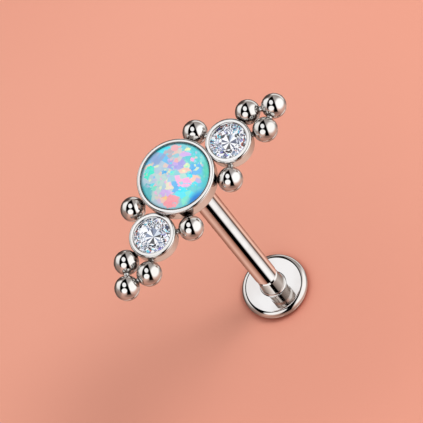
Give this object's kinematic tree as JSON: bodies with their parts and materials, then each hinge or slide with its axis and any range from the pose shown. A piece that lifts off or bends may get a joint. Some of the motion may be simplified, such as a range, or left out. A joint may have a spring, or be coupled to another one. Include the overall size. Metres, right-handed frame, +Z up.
{
  "type": "labret stud",
  "caption": "Straight piercing stud: flat disc back, thin post and a curved cluster head with an opal between crystals and beads.",
  "frame": {"origin": "centre of the disc's flat back face, on the post's axis; the stud stands on this face", "axes": "+Z up the post to the head; X along the head's long way; +Y the way that both ends of the head bow"},
  "size_m": [0.0128, 0.0047, 0.0149],
  "materials": {
    "head_metal": "mirror polished",
    "post_metal": "mirror polished",
    "opal": "polished, with coloured flakes",
    "crystal": "polished facets"
  },
  "bodies": {
    "root": {"setting": "head_metal", "opal_cabochon": "opal", "crystal_left": "crystal", "crystal_right": "crystal", "post_shaft": "post_metal", "disc_back": "post_metal"}
  },
  "joints": []
}
